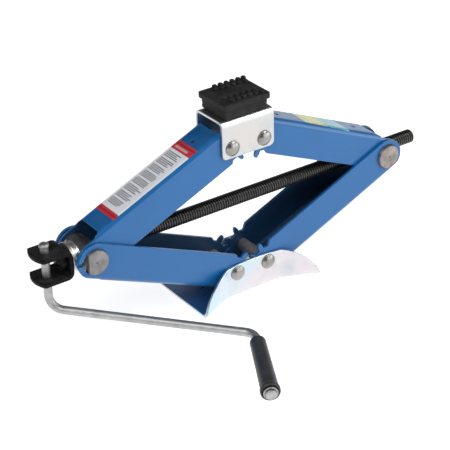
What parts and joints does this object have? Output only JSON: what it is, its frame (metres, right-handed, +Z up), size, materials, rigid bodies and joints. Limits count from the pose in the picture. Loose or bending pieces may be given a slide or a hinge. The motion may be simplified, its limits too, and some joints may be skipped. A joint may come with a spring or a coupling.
{
  "type": "scissor car jack",
  "caption": "Scissor jack: gear-ended channel arms, folded base, rubber-padded saddle, screw with thrust bearing and U yoke, and a folding crank with a turning grip.",
  "frame": {"origin": "on the underside of the base plate, midway between the two base rivets", "axes": "+Z up towards the saddle, X along the screw with the crank's end at -X, the front with the crank's grip at -Y"},
  "size_m": [0.4393, 0.2699, 0.2049],
  "materials": {
    "blue_paint": "gloss blue enamel on folded sheet steel",
    "zinc": "bright zinc plating on folded sheet steel",
    "steel": "turned steel, machined end faces",
    "bright_zinc": "bright zinc plated steel",
    "black_oxide": "blackened and oiled steel",
    "black_paint": "black enamel on strip steel",
    "rubber": "moulded black rubber",
    "grip_plastic": "matt black plastic",
    "bearing_steel": "polished hardened steel",
    "cage_brass": "pressed brass"
  },
  "bodies": {
    "base": {"base_plate": "zinc", "base_rivet_left": "bright_zinc", "base_rivet_right": "bright_zinc", "base_spacer_left": "steel", "base_spacer_right": "steel"},
    "lower_left": {"lower_left_arm": "blue_paint"},
    "lower_right": {"lower_right_arm": "blue_paint"},
    "upper_left": {"upper_left_arm": "blue_paint"},
    "upper_right": {"upper_right_arm": "blue_paint"},
    "thrust_block": {"thrust_trunnion": "steel", "thrust_washer_fixed": "bearing_steel"},
    "nut_block": {"nut_trunnion": "steel"},
    "ball_cage": {"ball_cage": "cage_brass", "thrust_ball_1": "bearing_steel", "thrust_ball_2": "bearing_steel", "thrust_ball_3": "bearing_steel", "thrust_ball_4": "bearing_steel", "thrust_ball_5": "bearing_steel", "thrust_ball_6": "bearing_steel", "thrust_ball_7": "bearing_steel", "thrust_ball_8": "bearing_steel"},
    "screw": {"lead_screw": "black_oxide", "thrust_washer_turning": "bearing_steel", "bearing_shell": "bright_zinc", "crank_yoke": "black_paint", "yoke_nut": "black_oxide"},
    "crank": {"crank_rod": "bright_zinc", "grip_washer": "bright_zinc"},
    "grip": {"crank_grip": "grip_plastic"},
    "saddle": {"saddle_bracket": "zinc", "rubber_pad": "rubber", "saddle_rivet_left": "bright_zinc", "saddle_rivet_right": "bright_zinc", "saddle_spacer_left": "steel", "saddle_spacer_right": "steel"}
  },
  "joints": [
    {"name": "lift", "type": "hinge", "parent": "base", "child": "lower_left", "pos_m": [-0.018, 0, 0.0265], "axis": [0, 1, 0], "range_deg": [-17.8, 48]},
    {"name": "lower_right_turn", "type": "hinge", "parent": "base", "child": "lower_right", "pos_m": [0.018, 0, 0.0265], "axis": [0, 1, 0], "range_deg": [-48, 17.8]},
    {"name": "thrust_block_turn", "type": "hinge", "parent": "lower_left", "child": "thrust_block", "pos_m": [-0.16931, 0, 0.09229], "axis": [0, 1, 0], "range_deg": [-48, 17.8]},
    {"name": "upper_left_turn", "type": "hinge", "parent": "lower_left", "child": "upper_left", "pos_m": [-0.16931, 0, 0.09229], "axis": [0, 1, 0], "range_deg": [-96, 35.6]},
    {"name": "saddle_turn", "type": "hinge", "parent": "upper_left", "child": "saddle", "pos_m": [-0.018, 0, 0.15809], "axis": [0, 1, 0], "range_deg": [-17.8, 48]},
    {"name": "upper_right_turn", "type": "hinge", "parent": "lower_right", "child": "upper_right", "pos_m": [0.16931, 0, 0.09229], "axis": [0, 1, 0], "range_deg": [-35.6, 96]},
    {"name": "nut_block_turn", "type": "hinge", "parent": "lower_right", "child": "nut_block", "pos_m": [0.16931, 0, 0.09229], "axis": [0, 1, 0], "range_deg": [-17.8, 48]},
    {"name": "screw_turn", "type": "hinge", "parent": "thrust_block", "child": "screw", "pos_m": [-0.16931, 0, 0.09229], "axis": [1, 0, 0], "continuous": true},
    {"name": "ball_cage_roll", "type": "hinge", "parent": "thrust_block", "child": "ball_cage", "pos_m": [-0.16931, 0, 0.09229], "axis": [1, 0, 0], "continuous": true},
    {"name": "crank_swivel", "type": "hinge", "parent": "screw", "child": "crank", "pos_m": [-0.20781, 0, 0.09229], "axis": [0, 0, 1], "range_deg": [-260, 0]},
    {"name": "grip_spin", "type": "hinge", "parent": "crank", "child": "grip", "pos_m": [-0.08435, -0.14507, 0.04729], "axis": [-0.4695, -0.8829, 0], "continuous": true}
  ],
  "couplings": [
    {"joint": "lower_right_turn", "follows": "lift", "ratio": -1},
    {"joint": "thrust_block_turn", "follows": "lift", "ratio": -1},
    {"joint": "upper_left_turn", "follows": "lift", "ratio": -2},
    {"joint": "saddle_turn", "follows": "lift", "ratio": 1},
    {"joint": "upper_right_turn", "follows": "lift", "ratio": 2},
    {"joint": "nut_block_turn", "follows": "lift", "ratio": 1},
    {"joint": "ball_cage_roll", "follows": "screw_turn", "ratio": 0.5}
  ]
}
